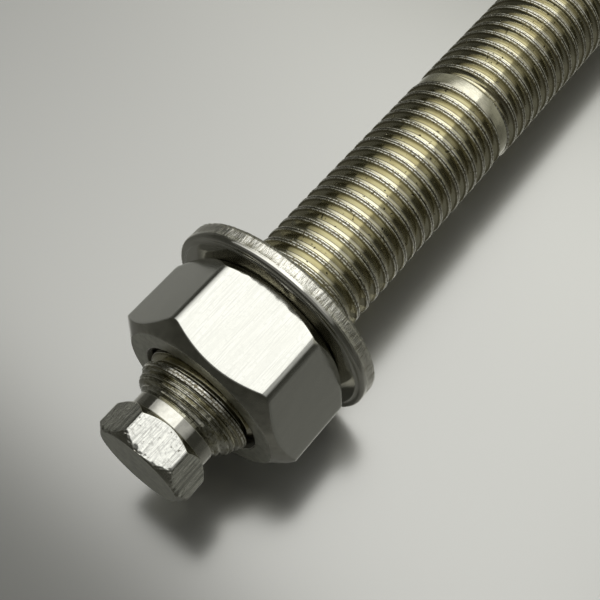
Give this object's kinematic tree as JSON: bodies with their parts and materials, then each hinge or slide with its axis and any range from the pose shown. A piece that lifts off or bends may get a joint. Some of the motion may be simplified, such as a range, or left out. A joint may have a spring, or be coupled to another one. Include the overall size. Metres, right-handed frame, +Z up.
{
  "type": "anchor stud",
  "caption": "Threaded anchor stud with a hexagonal driving end, fitted with a hex nut and a flat washer, for fastening a plate to concrete.",
  "frame": {"origin": "on the surface the stud lies on, under the middle of its bounding box", "axes": "+X runs along the stud from its driving end to its far end, +Z is up"},
  "size_m": [0.1904, 0.0294, 0.0296],
  "materials": {
    "stud_steel": "rolled thread, semi-bright",
    "nut_steel": "bright brushed flats, satin faces",
    "washer_steel": "punched, with a coarse sheared rim"
  },
  "bodies": {
    "stud": {"stud": "stud_steel"},
    "washer": {"washer": "washer_steel"},
    "hex_nut": {"hex_nut": "nut_steel"}
  },
  "joints": [
    {"name": "washer_slide", "type": "slide", "parent": "stud", "child": "washer", "axis": [0.9991, 0, -0.0425], "range_m": [-0.0031, 0.0371]},
    {"name": "nut_turn", "type": "hinge", "parent": "washer", "child": "hex_nut", "pos_m": [-0.07764, 0, 0.01511], "axis": [0.9991, 0, -0.0425], "range_deg": [-540, 6660]}
  ],
  "couplings": [
    {"joint": "washer_slide", "follows": "nut_turn", "m_per_rad": 0.00031831}
  ]
}
